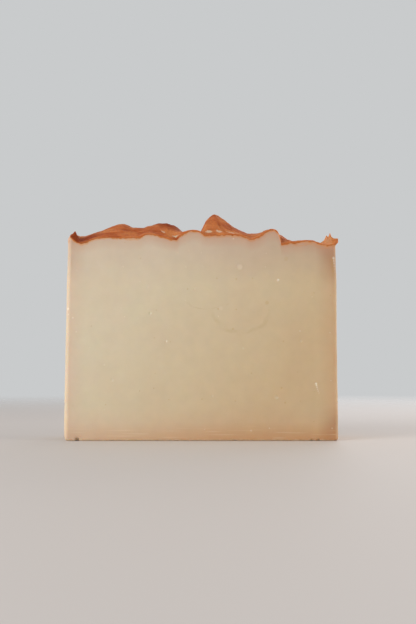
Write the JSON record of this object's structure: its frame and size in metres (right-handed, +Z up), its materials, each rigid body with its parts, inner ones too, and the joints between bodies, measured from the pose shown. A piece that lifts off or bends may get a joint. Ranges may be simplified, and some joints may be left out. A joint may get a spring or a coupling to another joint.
{
  "type": "bar of soap",
  "caption": "Hand-cut bar of loaf soap: a tall cream slab with flat cut faces and a wavy, spooned top under a rust-brown skin. It stands on its flat base.",
  "frame": {"origin": "middle of the flat base, on the surface that the bar stands on", "axes": "+Z up; +X across the loaf, along the bar's width; +Y along the loaf, through the bar's thickness; the front cut face looks along -Y"},
  "size_m": [0.0896, 0.026, 0.0753],
  "materials": {
    "cream_soap": "cut cold-process soap, smooth and waxy, cream, with a rust-brown skin on the top"
  },
  "bodies": {
    "root": {"soap_bar": "cream_soap"}
  },
  "joints": []
}
